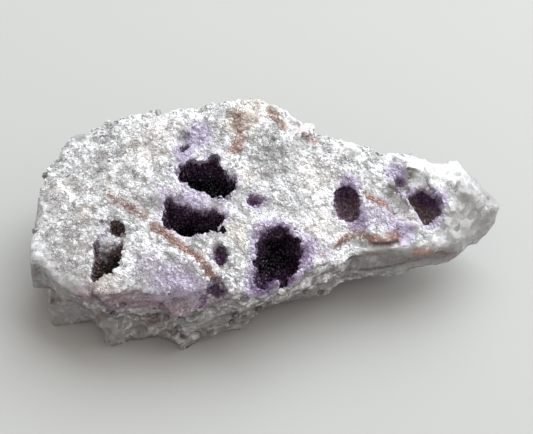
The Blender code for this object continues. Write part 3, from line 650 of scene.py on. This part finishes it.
class Tree:
    """A few short ways to add and join the nodes of a shader or a geometry tree."""

    def __init__(self, nodes, links):
        self.nodes = nodes
        self.links = links

    def add(self, kind, settings=None, inputs=None):
        made = self.nodes.new(kind)
        for name, value in (settings or {}).items():
            setattr(made, name, value)
        for name, value in (inputs or {}).items():
            self.feed(made, name, value)
        return made

    def feed(self, made, name, value):
        """Sets an input, or links it where the value is another node's output."""
        socket = made.inputs[name] if isinstance(name, int) else shown(made.inputs, name)
        if isinstance(value, bpy.types.NodeSocket):
            self.links.new(value, socket)
        else:
            socket.default_value = value

    def attribute(self, name):
        return self.add("ShaderNodeAttribute", {"attribute_name": name}).outputs["Fac"]

    def math(self, operation, first, second):
        return self.add("ShaderNodeMath", {"operation": operation}, {0: first, 1: second}).outputs[0]

    def times(self, first, second):
        return self.math("MULTIPLY", first, second)

    def plus(self, first, second):
        return self.math("ADD", first, second)

    def greater(self, first, second):
        return self.math("MAXIMUM", first, second)

    def vector(self, operation, inputs):
        return self.add("ShaderNodeVectorMath", {"operation": operation}, inputs).outputs[0]

    def channel(self, colour, index):
        """One channel of a colour: 0 is red, 1 is green."""
        return self.add("ShaderNodeSeparateColor", {}, {0: colour}).outputs[index]

    def between(self, value, low, high, out_low=0.0, out_high=1.0):
        """A smooth change from one output to the other as the value goes from low to high."""
        inputs = {0: value, 1: low, 2: high, 3: out_low, 4: out_high}
        settings = {"interpolation_type": "SMOOTHSTEP"}
        return self.add("ShaderNodeMapRange", settings, inputs).outputs[0]

    def mix(self, factor, first, second):
        settings = {"data_type": "RGBA", "clamp_factor": True}
        made = self.add("ShaderNodeMix", settings, {0: factor, 6: first, 7: second})
        return made.outputs[2]

    def noise(self, place, size, detail=3.0, roughness=0.55, distortion=0.0, output="Fac"):
        """Noise whose features are about `size` millimetres."""
        inputs = {"Vector": place, "Scale": 1.0 / (size * MM), "Detail": detail,
                  "Roughness": roughness, "Distortion": distortion}
        return self.add("ShaderNodeTexNoise", {}, inputs).outputs[output]

    def cells(self, place, size, output="Color", feature="F1"):
        """Cells about `size` millimetres wide."""
        inputs = {"Vector": place, "Scale": 1.0 / (size * MM)}
        return self.add("ShaderNodeTexVoronoi", {"feature": feature}, inputs).outputs[output]


def shown(sockets, name):
    """The enabled socket of that name."""
    return next(socket for socket in sockets if socket.name == name and socket.enabled)


def shader_group(name, inputs, outputs):
    """A new shader node group with these sockets, and its tree, input and output nodes."""
    group = bpy.data.node_groups.new(name, "ShaderNodeTree")
    kinds = {"colour": "NodeSocketColor", "value": "NodeSocketFloat", "vector": "NodeSocketVector"}
    for socket, (kind, default) in inputs.items():
        made = group.interface.new_socket(socket, in_out="INPUT", socket_type=kinds[kind])
        if default is not None:
            made.default_value = default
    for socket, kind in outputs.items():
        group.interface.new_socket(socket, in_out="OUTPUT", socket_type=kinds[kind])
    tree = Tree(group.nodes, group.links)
    return group, tree, tree.add("NodeGroupInput").outputs, tree.add("NodeGroupOutput")


def stone_colour_group():
    """The colour of the stone from its masks: druse, stains, rose layer, amethyst, iron veins and painted
    shade in the hollows.
    """
    inputs = {name: ("colour", None) for name in MINERALS}
    inputs["Grain Contrast"] = ("value", 0.5)
    group, tree, given, out = shader_group("Stone Colour", inputs, {"Color": "colour"})
    place = tree.add("ShaderNodeTexCoord").outputs["Object"]
    cloud = tree.noise(place, 7.0, 5.0, 0.65)
    speck = tree.noise(place, 1.3, 3.0, 0.7)
    drift = tree.noise(place, 2.0, 3.0, 0.6, output="Color")
    uneven = tree.vector("MULTIPLY_ADD", {0: drift, 1: (2.4 * MM, 2.4 * MM, 2.4 * MM), 2: place})
    # Cells of about 2.6 and 1.1 mm give each crystal face its own brightness: partly the quartz's own
    # milky and clear patches, partly painted reflection on the faces.
    shards = tree.channel(tree.cells(uneven, 2.6), 0)
    clumps_and_reflection = tree.channel(tree.cells(uneven, 1.1), 1)
    fleck = tree.channel(tree.cells(place, 0.7), 0)
    fleck = tree.greater(fleck, tree.attribute("tint"))

    bare = tree.between(tree.attribute("growth"), 0.60, 0.25)
    mottle_and_reflection = tree.plus(tree.times(shards, 0.34), tree.times(clumps_and_reflection, 0.32))
    mottle_and_reflection = tree.plus(mottle_and_reflection, tree.times(cloud, 0.48))
    patch = tree.noise(place, 16.0, 3.0, 0.6)
    mottle_and_reflection = tree.plus(mottle_and_reflection, tree.between(patch, 0.38, 0.66, -0.10, 0.12))
    grey_cloud_and_reflection = tree.between(mottle_and_reflection, 0.50, 0.74)
    grey_cloud_and_reflection = tree.greater(grey_cloud_and_reflection, tree.times(bare, 0.7))
    colour = tree.mix(tree.times(grey_cloud_and_reflection, 0.72), given["Milky"], given["Grey"])
    grain = tree.times(tree.between(fleck, 0.62, 1.0), given["Grain Contrast"])
    colour = tree.mix(grain, colour, given["Grey"])
    edge = tree.cells(uneven, 2.6, "Distance", "DISTANCE_TO_EDGE")
    edge = tree.times(tree.between(edge, 0.075, 0.0), tree.between(speck, 0.40, 0.60))
    colour = tree.mix(tree.times(edge, 0.55), colour, given["Shade"])
    cream_cloud = tree.between(tree.noise(place, 10.0, 5.0, 0.65, 0.8), 0.50, 0.75, 0.0, 0.22)
    cream = tree.greater(cream_cloud, tree.attribute("cream"))
    cream = tree.times(cream, tree.between(speck, 0.35, 0.60, 0.35, 0.9))
    colour = tree.mix(cream, colour, given["Cream"])

    side = tree.attribute("side")
    flat = tree.vector("MULTIPLY", {0: place, 1: (0.25, 0.25, 1.0)})
    layers = tree.noise(flat, 2.0, 5.0, 0.7, 0.6)
    layers = tree.plus(tree.times(layers, 0.6), tree.times(mottle_and_reflection, 0.45))
    side_tone = tree.mix(tree.between(layers, 0.45, 0.72), given["Shade"], given["Grey"])
    warm = tree.between(tree.noise(place, 6.0, 4.0, 0.6, 0.5), 0.50, 0.66, 0.0, 0.5)
    bent = tree.vector("MULTIPLY", {0: place, 1: (0.35, 0.35, 1.0)})
    crack = tree.cells(bent, 3.4, "Distance", "DISTANCE_TO_EDGE")
    crack = tree.times(tree.between(crack, 0.045, 0.0), tree.between(cloud, 0.40, 0.60))
    side_tone = tree.mix(tree.times(crack, 0.8), side_tone, given["Smoky"])
    white_speck = tree.plus(tree.times(speck, 0.6), tree.times(clumps_and_reflection, 0.5))
    white_speck = tree.times(tree.between(white_speck, 0.58, 0.80),
                            tree.between(cloud, 0.38, 0.62))
    side_tone = tree.mix(tree.times(white_speck, 0.75), side_tone, given["Milky"])
    colour = tree.mix(tree.times(side, 0.9), colour, side_tone)
    # The grey also changes from face to face with these cells, partly painted reflection.
    grey = tree.times(tree.attribute("grey"), tree.between(shards, 0.15, 0.85, 0.62, 1.0))
    colour = tree.mix(grey, colour, given["Grey"])
    colour = tree.mix(tree.times(side, warm), colour, given["Brown"])

    rose = tree.times(tree.attribute("rose"), tree.between(speck, 0.28, 0.60, 0.35, 1.0))
    colour = tree.mix(rose, colour, given["Rose"])
    wobble = tree.times(tree.math("SUBTRACT", speck, 0.5), 0.8)
    violet = tree.attribute("violet")
    violet = tree.plus(violet, tree.times(violet, wobble))
    colour = tree.mix(tree.between(violet, 0.05, 0.50), colour, given["Lilac"])
    colour = tree.mix(tree.between(violet, 0.45, 1.0), colour, given["Violet"])
    iron = tree.times(tree.attribute("iron"), tree.between(speck, 0.32, 0.55, 0.55, 1.0))
    iron = tree.between(iron, 0.05, 0.9, 0.0, 0.92)
    colour = tree.mix(iron, colour, given["Iron"])
    dark = tree.mix(0.75, given["Shade"], given["Deep"])
    seam = tree.times(tree.attribute("seam"), tree.between(speck, 0.30, 0.50, 0.5, 1.0))
    colour = tree.mix(seam, colour, dark)

    # Painted shade in the hollows: with depth the colour goes from violet to wine walls, brown ones in the
    # brown hollows, and near black at the bottom; partly the crystals' own colour, partly painted shade.
    bottom = tree.mix(tree.attribute("smoky"), given["Deep"], given["Smoky"])
    depth = tree.plus(tree.attribute("depth"), tree.between(speck, 0.3, 0.7, -0.4, 0.4))
    wall = tree.mix(tree.attribute("smoky"), given["Wine"], given["Brown"])
    colour = tree.mix(tree.between(depth, 0.1, 1.0, 0.0, 0.6), colour, given["Violet"])
    colour = tree.mix(tree.between(depth, 0.5, 2.0, 0.0, 0.97), colour, wall)
    colour = tree.mix(tree.between(depth, 3.6, 7.5), colour, bottom)
    tree.feed(out, "Color", colour)
    return group


def facets_group():
    """A normal broken into small flat crystal faces, and a roughness that differs from face to face."""
    inputs = {"Face Size": ("value", 0.8), "Tilt": ("value", 0.3), "Relief": ("value", 0.3),
              "Smoothest": ("value", 0.1), "Roughest": ("value", 0.5)}
    outputs = {"Normal": "vector", "Roughness": "value"}
    group, tree, given, out = shader_group("Crystal Facets", inputs, outputs)
    place = tree.add("ShaderNodeTexCoord").outputs["Object"]
    scale = tree.math("DIVIDE", 1.0 / MM, given["Face Size"])
    cells = tree.add("ShaderNodeTexVoronoi", {"feature": "F1"}, {"Vector": place, "Scale": scale})
    centred = tree.vector("SUBTRACT", {0: cells.outputs["Color"], 1: (0.5, 0.5, 0.5)})
    tilt = tree.vector("SCALE", {0: centred, "Scale": given["Tilt"]})
    straight = tree.add("ShaderNodeNewGeometry").outputs["Normal"]
    facing = tree.vector("NORMALIZE", {0: tree.vector("ADD", {0: straight, 1: tilt})})
    fine = tree.noise(place, 0.8, 4.0, 0.6)
    bump = tree.add("ShaderNodeBump", {}, {"Strength": given["Relief"], "Distance": 0.6 * MM,
                                           "Height": fine, "Normal": facing})
    value = tree.channel(cells.outputs["Color"], 1)
    rough = tree.add("ShaderNodeMapRange", {}, {0: value, 1: 0.0, 2: 1.0, 3: given["Smoothest"],
                                                4: given["Roughest"]}).outputs[0]
    tree.feed(out, "Normal", bump.outputs[0])
    tree.feed(out, "Roughness", rough)
    return group


def shared_group(name, build):
    """The shader node group of that name, built where it isn't there yet."""
    return bpy.data.node_groups.get(name) or build()


def stone_material(name, face_size, tilt, relief, rough, contrast, **sockets):
    """A mineral of the stone: its colour from the masks, its facets, and the shader's own sockets."""
    made = bpy.data.materials.new(name)
    made.use_nodes = True
    tree = Tree(made.node_tree.nodes, made.node_tree.links)
    shader = made.node_tree.nodes["Principled BSDF"]
    colours = bpy.context.scene.specimen_colours
    minerals = {mineral: (*getattr(colours, mineral.lower()), 1.0) for mineral in MINERALS}
    colour = tree.add("ShaderNodeGroup", {"node_tree": shared_group("Stone Colour", stone_colour_group)},
                      {**minerals, "Grain Contrast": contrast})
    facets = tree.add("ShaderNodeGroup", {"node_tree": shared_group("Crystal Facets", facets_group)},
                      {"Face Size": face_size, "Tilt": tilt, "Relief": relief,
                       "Smoothest": rough[0], "Roughest": rough[1]})
    tree.feed(shader, "Base Color", colour.outputs["Color"])
    tree.feed(shader, "Roughness", facets.outputs["Roughness"])
    tree.feed(shader, "Normal", facets.outputs["Normal"])
    shader.inputs["IOR"].default_value = QUARTZ_IOR
    for key, value in sockets.items():
        shader.inputs[key.replace("_", " ")].default_value = value
    return made


def settled(name):
    """The object just added, renamed, with its place, turn and size applied to its mesh."""
    obj = bpy.context.object
    obj.name = name
    bpy.ops.object.transform_apply(location=True, rotation=True, scale=True)
    return obj


def quartz_crystal(name, radius, prism, tip):
    """A six-sided crystal with a pointed tip, its foot a little under the origin."""
    bpy.ops.object.select_all(action="DESELECT")
    bpy.ops.mesh.primitive_cylinder_add(
        vertices=6, radius=radius * MM, depth=prism * MM, location=(0.0, 0.0, prism * 0.3 * MM))
    obj = settled(name)
    bpy.ops.object.mode_set(mode="EDIT")
    bpy.ops.mesh.select_all(action="DESELECT")
    bpy.ops.object.mode_set(mode="OBJECT")
    for face in obj.data.polygons:
        face.select = face.normal.z > 0.9
    bpy.ops.object.mode_set(mode="EDIT")
    bpy.ops.mesh.select_mode(type="FACE")
    bpy.ops.mesh.extrude_region_move(TRANSFORM_OT_translate={"value": (0.0, 0.0, tip * MM)})
    bpy.ops.mesh.merge(type="CENTER")
    bpy.ops.object.mode_set(mode="OBJECT")
    return obj


def quartz_grain(name, radius, height):
    """A six-sided pyramid, the visible tip of a small crystal, its foot a little under the origin."""
    bpy.ops.object.select_all(action="DESELECT")
    bpy.ops.mesh.primitive_cone_add(vertices=6, radius1=radius * MM, radius2=0.0, depth=height * MM,
                                    location=(0.0, 0.0, height * 0.2 * MM))
    return settled(name)


def cavity_cutter(name, rim, bottom, lean, narrow):
    """A closed form that cuts a cavity: steep under its rim, then narrower towards its bottom."""
    slope_x, slope_y, level = rim_plane(rim)
    bpy.ops.object.select_all(action="DESELECT")
    bpy.ops.mesh.primitive_circle_add(vertices=len(rim), radius=1.0 * MM, fill_type="NGON")
    obj = bpy.context.object
    obj.name = name + "_cutter"
    middle = np.array(rim).mean(axis=0)
    for vert, (x, y, _) in zip(obj.data.vertices, rim):
        vert.co = Vector((x, y, x * slope_x + y * slope_y + level + CUTTER_HEAD)) * MM
    steps = ((CUTTER_HEAD / bottom, 0.0, 1.0), *CAVITY_STEPS, (*LAST_STEP, narrow))
    bpy.ops.object.mode_set(mode="EDIT")
    bpy.ops.mesh.select_mode(type="FACE")
    bpy.ops.mesh.select_all(action="SELECT")
    centre = Vector(middle) * MM
    for drop, shift, spread in steps:
        step = Vector((lean[0] * shift, lean[1] * shift, -bottom * drop)) * MM
        centre = centre + step
        bpy.ops.mesh.extrude_region_move(TRANSFORM_OT_translate={"value": step})
        bpy.ops.transform.resize(value=(spread, spread, 1.0), center_override=centre)
    bpy.ops.mesh.select_all(action="SELECT")
    bpy.ops.mesh.normals_make_consistent(inside=False)
    bpy.ops.mesh.quads_convert_to_tris()
    bpy.ops.object.mode_set(mode="OBJECT")
    return obj


def quartz_blade(start, end, half_width, height):
    """A thin crystal lying on the stone between two places, with a sharp upper edge."""
    start, end = Vector(start), Vector(end)
    run = end - start
    bpy.ops.object.select_all(action="DESELECT")
    bpy.ops.mesh.primitive_cylinder_add(
        vertices=5, radius=half_width * MM, depth=run.length * MM, location=(start + end) / 2.0 * MM,
        rotation=run.to_track_quat("Z", "Y").to_euler())
    obj = settled("blade")
    bpy.ops.object.mode_set(mode="EDIT")
    bpy.ops.mesh.select_all(action="SELECT")
    bpy.ops.transform.resize(value=(1.0, 1.0, height / half_width),
                             center_override=(start + end) / 2.0 * MM)
    bpy.ops.object.mode_set(mode="OBJECT")
    return obj


def clear_block(name, middle, half, turns):
    """A block with bevelled edges, turned about its own middle."""
    bpy.ops.object.select_all(action="DESELECT")
    bpy.ops.mesh.primitive_cube_add(size=2.0, location=Vector(middle) * MM,
                                    rotation=[math.radians(turn) for turn in turns],
                                    scale=[side * MM for side in half])
    obj = settled(name)
    bpy.ops.object.mode_set(mode="EDIT")
    bpy.ops.mesh.select_all(action="SELECT")
    bpy.ops.mesh.bevel(offset=0.16 * min(half) * MM, segments=1, affect="EDGES")
    bpy.ops.mesh.quads_convert_to_tris()
    bpy.ops.object.mode_set(mode="OBJECT")
    return obj


def filling(middle, half):
    """A round lump of stone."""
    bpy.ops.object.select_all(action="DESELECT")
    bpy.ops.mesh.primitive_ico_sphere_add(subdivisions=3, radius=1.0, location=Vector(middle) * MM,
                                          scale=[side * MM for side in half])
    return settled("filling")


def scatter_group(name, crystal, density, spacing, least, most, lean, seed):
    """A geometry node group that stands copies of a crystal on a mesh and keeps only the copies."""
    group = bpy.data.node_groups.new(name, "GeometryNodeTree")
    group.interface.new_socket("Geometry", in_out="INPUT", socket_type="NodeSocketGeometry")
    group.interface.new_socket("Geometry", in_out="OUTPUT", socket_type="NodeSocketGeometry")
    tree = Tree(group.nodes, group.links)
    given = tree.add("NodeGroupInput").outputs[0]
    weight = tree.add("GeometryNodeInputNamedAttribute", {"data_type": "FLOAT"}, {"Name": density})
    points = tree.add(
        "GeometryNodeDistributePointsOnFaces", {"distribute_method": "POISSON"},
        {"Mesh": given, "Distance Min": spacing, "Density Max": 2.5 / spacing ** 2,
         "Density Factor": weight.outputs[0], "Seed": seed})
    vectors = {"data_type": "FLOAT_VECTOR"}
    size = tree.add("FunctionNodeRandomValue", vectors, {"Min": least, "Max": most, "Seed": seed + 1})
    turn_limits = {"Min": (-lean, -lean, 0.0), "Max": (lean, lean, 2.0 * math.pi), "Seed": seed + 2}
    turn = tree.add("FunctionNodeRandomValue", vectors, turn_limits)
    turned = tree.add("FunctionNodeEulerToRotation", {}, {0: turn.outputs[0]})
    facing = tree.add("FunctionNodeRotateRotation", {"rotation_space": "LOCAL"},
                      {0: points.outputs["Rotation"], 1: turned.outputs[0]})
    shape = tree.add("GeometryNodeObjectInfo", {}, {"Object": crystal})
    placed = tree.add("GeometryNodeInstanceOnPoints", {}, {
        "Points": points.outputs["Points"], "Instance": shape.outputs["Geometry"],
        "Rotation": facing.outputs[0], "Scale": size.outputs[0]})
    tint = tree.add("FunctionNodeRandomValue", {"data_type": "FLOAT"}, {"Seed": seed + 3})
    marked = tree.add("GeometryNodeStoreNamedAttribute", {"data_type": "FLOAT", "domain": "INSTANCE"}, {
        "Geometry": placed.outputs[0], "Name": "tint", "Value": shown(tint.outputs, "Value")})
    real = tree.add("GeometryNodeRealizeInstances", {}, {"Geometry": marked.outputs[0]})
    tree.feed(tree.add("NodeGroupOutput"), 0, real.outputs[0])
    return group


def scattered(name, ground, crystal, density, spacing, least, most, lean, seed):
    """A mesh of crystals standing on the ground piece, where its density attribute allows."""
    obj = bpy.data.objects.new(name, ground.data.copy())
    bpy.context.scene.collection.objects.link(obj)
    group = scatter_group(name, crystal, density, spacing, least, most, lean, seed)
    apply_modifier(obj, "NODES", node_group=group)
    bpy.data.node_groups.remove(group)
    obj.data.materials.clear()
    return obj


def joined(name, pieces):
    select_only(*pieces)
    bpy.ops.object.join()
    bpy.context.object.name = name
    return bpy.context.object


def finished(obj, material, slot, *replaced):
    """A piece with its material, which rides on the stone and stands for the nodes it replaces."""
    obj.data.materials.clear()
    obj.data.materials.append(material)
    obj.vertex_groups.clear()
    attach(obj, BODY)
    if replaced:
        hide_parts(*replaced)
    return obj


class SPECIMEN_OT_build_mass(bpy.types.Operator):
    """Builds the fused mass of the stone with its broken sides and open hollows"""

    bl_idname = "specimen.build_mass"
    bl_label = "Build Quartz Mass"

    def execute(self, context):
        sizes = context.scene.specimen_sizes
        nodes = ["quartz_mass"] + [f"{name}_crystals" for name in HOLLOWS]
        parts = [copied_mesh(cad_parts[node], node + "_part") for node in nodes]
        for part in parts:
            apply_modifier(part, "DISPLACE", strength=OVERLAP, mid_level=0.0)
        obj = joined("quartz_body", parts)
        apply_modifier(obj, "REMESH", mode="VOXEL", voxel_size=sizes.body_detail)
        apply_modifier(obj, "SMOOTH", factor=0.5, iterations=3)
        apply_modifier(obj, "DISPLACE", strength=-OVERLAP, mid_level=0.0)
        weight_group(obj, "drusy", 1.0 - patches(places_of(obj), GREY_PATCHES))
        apply_modifier(obj, "DISPLACE", strength=-sizes.druse_depth, mid_level=0.0, vertex_group="drusy")
        for middle, half, turns in FLAT_BREAKS:
            cutter = clear_block("break", middle, half, turns)
            apply_modifier(obj, "BOOLEAN", operation="DIFFERENCE", object=cutter, solver="MANIFOLD")
            bpy.data.objects.remove(cutter)
        blocks = [clear_block("block", *values) for values in CLEAR_BLOCKS]
        blocks += [filling(*values) for values in FILLINGS]
        obj = joined("quartz_body", [*blocks, obj])
        apply_modifier(obj, "REMESH", mode="VOXEL", voxel_size=sizes.body_detail)
        surface = outer_surface(obj)
        for name, (rim, bottom, lean, narrow) in CAVITIES.items():
            cutter = cavity_cutter(name, rim, bottom, lean, narrow)
            apply_modifier(obj, "BOOLEAN", operation="DIFFERENCE", object=cutter, solver="MANIFOLD")
            bpy.data.objects.remove(cutter)
        obj = joined("quartz_body", [quartz_blade(*BLADE), obj])
        apply_modifier(obj, "REMESH", mode="VOXEL", voxel_size=sizes.body_detail)
        self.roughen(obj)
        apply_modifier(obj, "REMESH", mode="VOXEL", voxel_size=sizes.body_detail)
        for vert in obj.data.vertices:
            if vert.co.z < REST_HEIGHT:
                vert.co.z = 0.0
        paint_body(obj, surface)
        material = stone_material("broken_quartz", face_size=1.6, tilt=0.7, relief=0.4,
                                  rough=(0.05, 0.35), contrast=0.30)
        finished(obj, material, "quartz", "quartz_mass")
        return {"FINISHED"}

    def roughen(self, obj):
        """Adds lumps and crumbs to the top and thin layers to the broken sides, not to clear quartz."""
        places, facing = places_of(obj), facing_of(obj)
        rough = 1.0 - smooth_step(0.3, 0.9, patches(places, GREY_PATCHES))
        side = 1.0 - smooth_step(0.2, 0.5, np.abs(facing[:, 2]))
        weight_group(obj, "sides", side * rough)
        weight_group(obj, "top", smooth_step(0.2, 0.5, facing[:, 2]) * rough)
        weight_group(obj, "rough", np.maximum(rough, 0.25))
        weight_group(obj, "seams", veins(places, DARK_SEAMS))
        flat = bpy.data.objects.new("flat", None)
        bpy.context.scene.collection.objects.link(flat)
        for name, kind, settings, size, stretch, strength, level, group in RELIEF:
            flat.scale = (stretch, stretch, 1.0)
            bpy.context.view_layer.update()
            coords = "OBJECT" if stretch > 1.0 else "LOCAL"
            apply_modifier(obj, "DISPLACE", texture=texture(name, kind, noise_scale=size * MM, **settings),
                           texture_coords=coords, texture_coords_object=flat, strength=strength * MM,
                           mid_level=level, vertex_group=group)
        apply_modifier(obj, "DISPLACE", strength=-SEAM_DEPTH, mid_level=0.0, vertex_group="seams")
        bpy.data.objects.remove(flat)


class SPECIMEN_OT_build_druse(bpy.types.Operator):
    """Covers the top with druse and the broken sides with chips of quartz"""

    bl_idname = "specimen.build_druse"
    bl_label = "Build Druse"

    def execute(self, context):
        sizes = context.scene.specimen_sizes
        body = bpy.data.objects["quartz_body"]
        point = quartz_crystal("point", radius=0.5, prism=0.9, tip=0.5)
        grain = quartz_grain("grain", radius=0.5, height=0.75)
        druse = stone_material("white_druse", face_size=0.9, tilt=0.25, relief=0.05,
                               rough=(0.03, 0.30), contrast=0.50)
        chips = stone_material("quartz_chips", face_size=0.9, tilt=0.4, relief=0.2,
                               rough=(0.08, 0.35), contrast=0.35, Transmission_Weight=0.5)
        coarse = scattered("druse_crystals", body, point, "big", sizes.coarse_spacing,
                           least=(0.7, 0.7, 0.6), most=(1.5, 1.5, 1.2), lean=1.0, seed=11)
        finished(coarse, druse, "quartz")
        for index, (name, low, high) in enumerate(DRUSE_PARTS):
            set_share(body, low, high)
            fine = scattered(f"druse_{name}", body, grain, "share", sizes.fine_spacing,
                             least=(0.8, 0.8, 0.4), most=(1.9, 1.9, 0.85), lean=0.55,
                             seed=21 + 5 * index)
            finished(fine, druse, "quartz")
        sides = scattered("side_chips", body, point, "chips", sizes.chip_spacing,
                          least=(1.0, 1.0, 0.6), most=(2.4, 2.4, 1.3), lean=1.2, seed=51)
        finished(sides, chips, "quartz")
        for crystal in (point, grain):
            bpy.data.objects.remove(crystal)
        return {"FINISHED"}


class SPECIMEN_OT_build_amethyst(bpy.types.Operator):
    """Lines each hollow with amethyst crystals"""

    bl_idname = "specimen.build_amethyst"
    bl_label = "Build Amethyst"

    def execute(self, context):
        sizes = context.scene.specimen_sizes
        body = bpy.data.objects["quartz_body"]
        point = quartz_crystal("amethyst_point", radius=0.5, prism=1.0, tip=0.5)
        material = stone_material("amethyst_crystal", face_size=0.8, tilt=0.3, relief=0.05,
                                  rough=(0.15, 0.45), contrast=0.2, Transmission_Weight=0.5,
                                  Specular_IOR_Level=0.3)
        for index, name in enumerate(HOLLOWS):
            piece = scattered(f"{name}_amethyst", body, point, f"wall_{name}", sizes.hollow_spacing,
                              least=(0.5, 0.5, 0.4), most=(1.2, 1.2, 1.0), lean=0.6, seed=61 + index)
            finished(piece, material, "amethyst", f"{name}_crystals")
        bpy.data.objects.remove(point)
        return {"FINISHED"}


class SPECIMEN_OT_build_stage(bpy.types.Operator):
    """Adds the plain pale floor, the soft light and the camera"""

    bl_idname = "specimen.build_stage"
    bl_label = "Build Stage"

    def execute(self, context):
        scene = context.scene
        bpy.ops.object.select_all(action="DESELECT")
        bpy.ops.mesh.primitive_plane_add(size=FLOOR_SIZE, location=(0.0, 0.0, 0.0))
        floor = context.object
        floor.name = "floor"
        material = bpy.data.materials.new("pale_floor")
        material.use_nodes = True
        shader = material.node_tree.nodes["Principled BSDF"]
        shader.inputs["Base Color"].default_value = (*scene.specimen_colours.floor, 1.0)
        shader.inputs["Roughness"].default_value = 0.9
        shader.inputs["Specular IOR Level"].default_value = 0.2
        floor.data.materials.append(material)

        world = bpy.data.worlds.new("studio")
        world.use_nodes = True
        world.node_tree.nodes["Background"].inputs["Color"].default_value = WORLD_COLOUR
        world.node_tree.nodes["Background"].inputs["Strength"].default_value = WORLD_STRENGTH
        scene.world = world
        for values in LIGHTS:
            self.add_light(*values)

        target = Vector(CAMERA_TARGET) * MM
        elevation = math.radians(CAMERA_ELEVATION)
        back = Vector((0.0, -math.cos(elevation), math.sin(elevation)))
        bpy.ops.object.camera_add(location=target + back * CAMERA_DISTANCE * MM,
                                  rotation=(math.pi / 2.0 - elevation, 0.0, 0.0))
        camera = context.object
        camera.name = "camera"
        camera.data.lens = CAMERA_LENS
        camera.data.sensor_width = 36.0
        camera.data.clip_start = 0.01
        scene.camera = camera
        scene.view_settings.view_transform = "Standard"
        return {"FINISHED"}

    def add_light(self, name, location, size, power, colour):
        """Adds a square area light that looks at the camera's target."""
        bpy.ops.object.light_add(type="AREA", location=location)
        light = bpy.context.object
        light.name = name
        light.data.shape = "SQUARE"
        light.data.size = size
        light.data.energy = power
        light.data.color = colour
        direction = Vector(CAMERA_TARGET) * MM - Vector(location)
        light.rotation_euler = direction.to_track_quat("-Z", "Y").to_euler()


class SPECIMEN_PT_sidebar(bpy.types.Panel):
    """Lists the sizes, the colours and the steps of the specimen"""

    bl_idname = "SPECIMEN_PT_sidebar"
    bl_label = "Rough Amethyst Specimen"
    bl_space_type = "VIEW_3D"
    bl_region_type = "UI"
    bl_category = "Specimen"

    def draw(self, context):
        layout = self.layout
        for group in (context.scene.specimen_sizes, context.scene.specimen_colours):
            for name in group.__annotations__:
                layout.prop(group, name)
        for operator in BUILDERS:
            layout.operator(operator.bl_idname)


GROUPS = {"specimen_sizes": SpecimenSizes, "specimen_colours": SpecimenColours}
BUILDERS = (
    SPECIMEN_OT_build_mass,
    SPECIMEN_OT_build_druse,
    SPECIMEN_OT_build_amethyst,
    SPECIMEN_OT_build_stage,
)


def register():
    for cls in (*GROUPS.values(), *BUILDERS, SPECIMEN_PT_sidebar):
        bpy.utils.register_class(cls)
    for name, cls in GROUPS.items():
        setattr(bpy.types.Scene, name, bpy.props.PointerProperty(type=cls))


def unregister():
    for name in GROUPS:
        delattr(bpy.types.Scene, name)
    for cls in (SPECIMEN_PT_sidebar, *reversed(BUILDERS), *GROUPS.values()):
        bpy.utils.unregister_class(cls)


def main():
    register()
    bpy.ops.specimen.build_mass()
    bpy.ops.specimen.build_druse()
    bpy.ops.specimen.build_amethyst()
    bpy.ops.specimen.build_stage()


if __name__ == "__main__":
    main()
